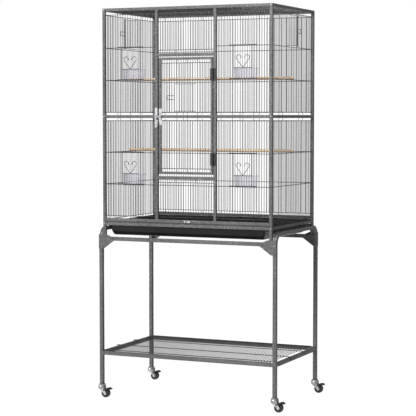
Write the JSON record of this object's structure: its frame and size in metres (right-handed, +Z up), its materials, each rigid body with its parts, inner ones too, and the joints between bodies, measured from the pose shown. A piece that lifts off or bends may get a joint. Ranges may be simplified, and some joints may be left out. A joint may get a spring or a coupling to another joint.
{
  "type": "bird cage on stand",
  "caption": "Tall wire flight cage with hinged front door, sliding feeder doors, pull-out tray and a rolling stand with a wire shelf.",
  "frame": {"origin": "on the floor, at the middle of the footprint with all casters trailing to +X", "axes": "+X to the right seen from the door side, +Y towards the back, +Z up"},
  "size_m": [0.8588, 0.509, 1.662],
  "materials": {
    "frame_coat": "hammered grey powder coat over steel",
    "wire_coat": "hammered grey powder coat over steel wire",
    "zinc": "bright zinc plate",
    "tray_plastic": "gloss black moulded plastic",
    "wheel_plastic": "black moulded wheel",
    "cup_plastic": "translucent bluish plastic",
    "perch_wood": "plain light dowel",
    "cap_plastic": "black moulded plugs and strips"
  },
  "bodies": {
    "cage_and_stand": {"front_frame": "frame_coat", "back_frame": "frame_coat", "left_side_frame": "frame_coat", "right_side_frame": "frame_coat", "post_caps": "cap_plastic", "front_left_grille": "wire_coat", "front_right_grille": "wire_coat", "centre_grille": "wire_coat", "back_grille": "wire_coat", "left_side_grille": "wire_coat", "right_side_grille": "wire_coat", "roof_grille": "wire_coat", "upper_left_feed_cup": "cup_plastic", "upper_right_feed_cup": "cup_plastic", "lower_left_feed_cup": "cup_plastic", "lower_right_feed_cup": "cup_plastic", "upper_perch": "perch_wood", "lower_perch": "perch_wood", "hinge_post_leaves": "frame_coat", "hinge_pins": "frame_coat", "latch_keeper": "zinc", "base_rails": "frame_coat", "slide_runners": "cap_plastic", "left_leg_frame": "frame_coat", "right_leg_frame": "frame_coat", "front_cross_bar": "frame_coat", "back_cross_bar": "frame_coat", "gusset_plates": "frame_coat", "shelf_frame": "frame_coat", "shelf_grille": "wire_coat", "frame_screws": "zinc", "caster_stems": "zinc"},
    "door": {"door_frame": "frame_coat", "door_grille": "wire_coat", "hinge_door_leaves": "frame_coat", "latch_plate": "zinc"},
    "latch_lever": {"latch_lever": "zinc"},
    "upper_left_feeder_door": {"upper_left_feeder_door": "wire_coat"},
    "upper_right_feeder_door": {"upper_right_feeder_door": "wire_coat"},
    "lower_left_feeder_door": {"lower_left_feeder_door": "wire_coat"},
    "lower_right_feeder_door": {"lower_right_feeder_door": "wire_coat"},
    "left_nest_door": {"left_nest_door": "wire_coat"},
    "right_nest_door": {"right_nest_door": "wire_coat"},
    "back_nest_door": {"back_nest_door": "wire_coat"},
    "floor_grille": {"floor_grille": "wire_coat"},
    "tray": {"tray": "tray_plastic"},
    "tray_button": {"tray_button": "zinc"},
    "front_left_fork": {"front_left_fork": "zinc"},
    "front_left_wheel": {"front_left_wheel": "wheel_plastic"},
    "front_left_brake": {"front_left_brake": "wheel_plastic"},
    "front_right_fork": {"front_right_fork": "zinc"},
    "front_right_wheel": {"front_right_wheel": "wheel_plastic"},
    "front_right_brake": {"front_right_brake": "wheel_plastic"},
    "back_left_fork": {"back_left_fork": "zinc"},
    "back_left_wheel": {"back_left_wheel": "wheel_plastic"},
    "back_left_brake": {"back_left_brake": "wheel_plastic"},
    "back_right_fork": {"back_right_fork": "zinc"},
    "back_right_wheel": {"back_right_wheel": "wheel_plastic"},
    "back_right_brake": {"back_right_brake": "wheel_plastic"}
  },
  "joints": [
    {"name": "door_swing", "type": "hinge", "parent": "cage_and_stand", "child": "door", "pos_m": [0.11258, -0.2482, 1.20425], "axis": [0, 0, 1], "range_deg": [0, 165]},
    {"name": "latch_lift", "type": "hinge", "parent": "door", "child": "latch_lever", "pos_m": [-0.1265, -0.2488, 1.208], "axis": [0, 1, 0], "range_deg": [0, 60]},
    {"name": "upper_left_feeder_lift", "type": "slide", "parent": "cage_and_stand", "child": "upper_left_feeder_door", "axis": [0, 0, 1], "range_m": [0, 0.115]},
    {"name": "upper_right_feeder_lift", "type": "slide", "parent": "cage_and_stand", "child": "upper_right_feeder_door", "axis": [0, 0, 1], "range_m": [0, 0.115]},
    {"name": "lower_left_feeder_lift", "type": "slide", "parent": "cage_and_stand", "child": "lower_left_feeder_door", "axis": [0, 0, 1], "range_m": [0, 0.115]},
    {"name": "lower_right_feeder_lift", "type": "slide", "parent": "cage_and_stand", "child": "lower_right_feeder_door", "axis": [0, 0, 1], "range_m": [0, 0.115]},
    {"name": "left_nest_swing", "type": "hinge", "parent": "cage_and_stand", "child": "left_nest_door", "pos_m": [-0.396, 0.05808, 1.5645], "axis": [0, 0, -1], "range_deg": [0, 120]},
    {"name": "right_nest_swing", "type": "hinge", "parent": "cage_and_stand", "child": "right_nest_door", "pos_m": [0.37, -0.05808, 1.5645], "axis": [0, 0, -1], "range_deg": [0, 120]},
    {"name": "back_nest_swing", "type": "hinge", "parent": "cage_and_stand", "child": "back_nest_door", "pos_m": [-0.19199, 0.24, 1.2915], "axis": [0, 0, -1], "range_deg": [0, 120]},
    {"name": "floor_grille_slide", "type": "slide", "parent": "cage_and_stand", "child": "floor_grille", "axis": [0, -1, 0], "range_m": [0, 0.44]},
    {"name": "tray_slide", "type": "slide", "parent": "cage_and_stand", "child": "tray", "axis": [0, -1, 0], "range_m": [0, 0.42]},
    {"name": "tray_button_turn", "type": "hinge", "parent": "cage_and_stand", "child": "tray_button", "pos_m": [-0.013, -0.247, 0.76835], "axis": [0, -1, 0], "range_deg": [0, 90]},
    {"name": "front_left_swivel", "type": "hinge", "parent": "cage_and_stand", "child": "front_left_fork", "pos_m": [-0.4124, -0.2375, 0.05], "axis": [0, 0, 1], "continuous": true},
    {"name": "front_left_roll", "type": "hinge", "parent": "front_left_fork", "child": "front_left_wheel", "pos_m": [-0.3944, -0.2375, 0.019], "axis": [0, 1, 0], "continuous": true},
    {"name": "front_left_brake_tilt", "type": "hinge", "parent": "front_left_fork", "child": "front_left_brake", "pos_m": [-0.4004, -0.2375, 0.033], "axis": [0, -1, 0], "range_deg": [0, 20]},
    {"name": "front_right_swivel", "type": "hinge", "parent": "cage_and_stand", "child": "front_right_fork", "pos_m": [0.3864, -0.2375, 0.05], "axis": [0, 0, 1], "continuous": true},
    {"name": "front_right_roll", "type": "hinge", "parent": "front_right_fork", "child": "front_right_wheel", "pos_m": [0.4044, -0.2375, 0.019], "axis": [0, 1, 0], "continuous": true},
    {"name": "front_right_brake_tilt", "type": "hinge", "parent": "front_right_fork", "child": "front_right_brake", "pos_m": [0.3984, -0.2375, 0.033], "axis": [0, -1, 0], "range_deg": [0, 20]},
    {"name": "back_left_swivel", "type": "hinge", "parent": "cage_and_stand", "child": "back_left_fork", "pos_m": [-0.4124, 0.2375, 0.05], "axis": [0, 0, 1], "continuous": true},
    {"name": "back_left_roll", "type": "hinge", "parent": "back_left_fork", "child": "back_left_wheel", "pos_m": [-0.3944, 0.2375, 0.019], "axis": [0, 1, 0], "continuous": true},
    {"name": "back_left_brake_tilt", "type": "hinge", "parent": "back_left_fork", "child": "back_left_brake", "pos_m": [-0.4004, 0.2375, 0.033], "axis": [0, -1, 0], "range_deg": [0, 20]},
    {"name": "back_right_swivel", "type": "hinge", "parent": "cage_and_stand", "child": "back_right_fork", "pos_m": [0.3864, 0.2375, 0.05], "axis": [0, 0, 1], "continuous": true},
    {"name": "back_right_roll", "type": "hinge", "parent": "back_right_fork", "child": "back_right_wheel", "pos_m": [0.4044, 0.2375, 0.019], "axis": [0, 1, 0], "continuous": true},
    {"name": "back_right_brake_tilt", "type": "hinge", "parent": "back_right_fork", "child": "back_right_brake", "pos_m": [0.3984, 0.2375, 0.033], "axis": [0, -1, 0], "range_deg": [0, 20]}
  ]
}
